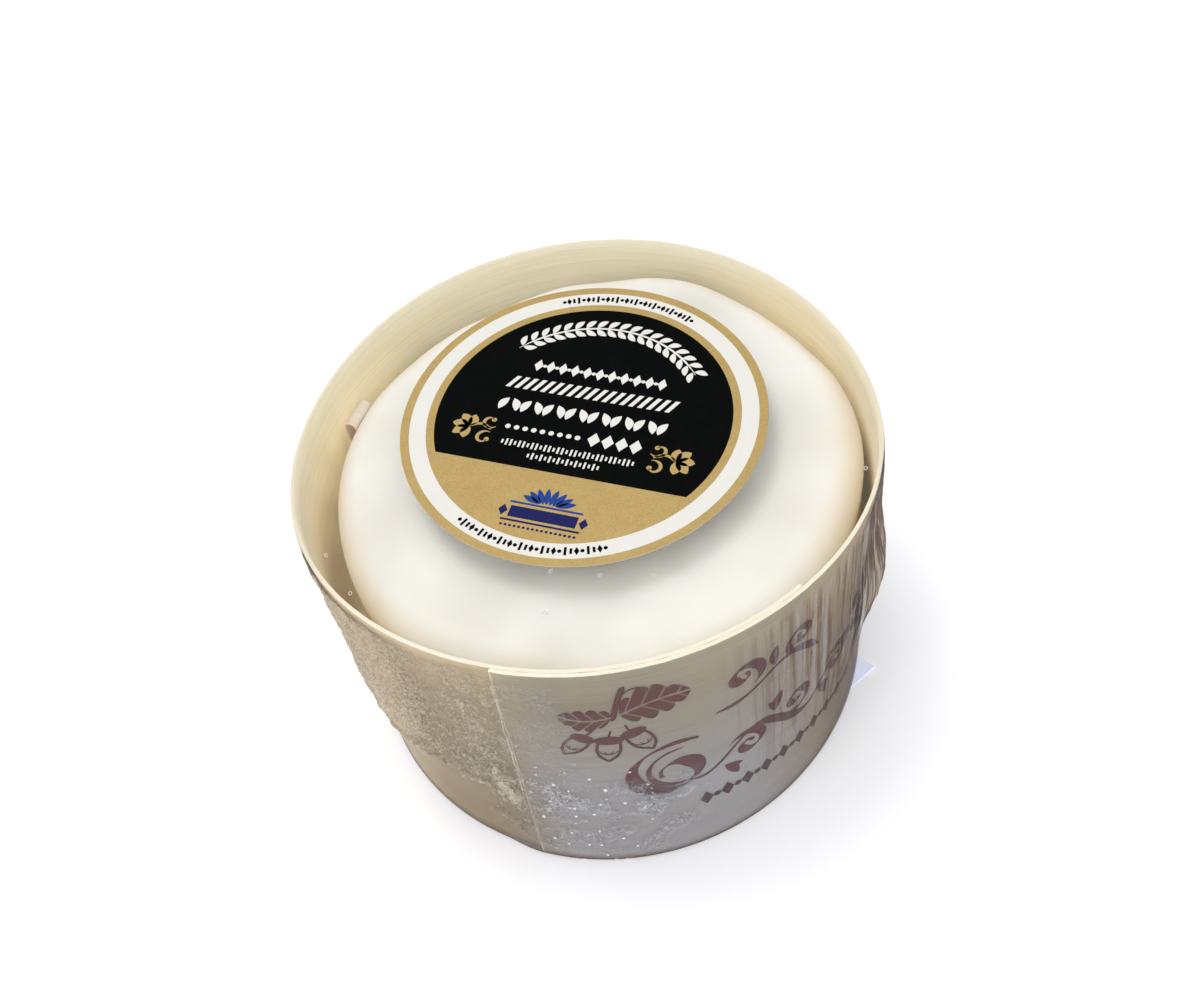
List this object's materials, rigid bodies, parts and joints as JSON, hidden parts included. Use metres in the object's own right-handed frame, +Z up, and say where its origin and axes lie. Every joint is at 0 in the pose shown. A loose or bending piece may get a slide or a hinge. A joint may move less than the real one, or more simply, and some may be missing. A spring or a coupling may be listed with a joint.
{
  "type": "soft cheese in a round veneer box",
  "caption": "Round soft white cheese in a bent veneer box, shut in clear vented film, with a round printed paper label on top and a square one underneath.",
  "frame": {"origin": "on the table, on the axis of the round box, on the underside of the square label", "axes": "+Z up out of the box; -Y towards the side that carries the print and the seam of the strip; +X to the right seen from there"},
  "size_m": [0.0878, 0.0869, 0.0534],
  "materials": {
    "veneer": "pale sliced poplar, satin, grain along the strip",
    "board": "pale poplar board, satin",
    "rind": "soft white bloomy cheese rind, slightly moist",
    "film": "clear shrunk film, glossy and crinkled",
    "label": "coated paper printed in gold, white and black",
    "base_paper": "white coated paper",
    "tab_paper": "white greaseproof paper"
  },
  "bodies": {
    "root": {"box_wall": "veneer", "box_floor": "board", "cheese": "rind", "film": "film", "top_label": "label", "base_label": "base_paper", "liner_tab": "tab_paper"}
  },
  "joints": []
}
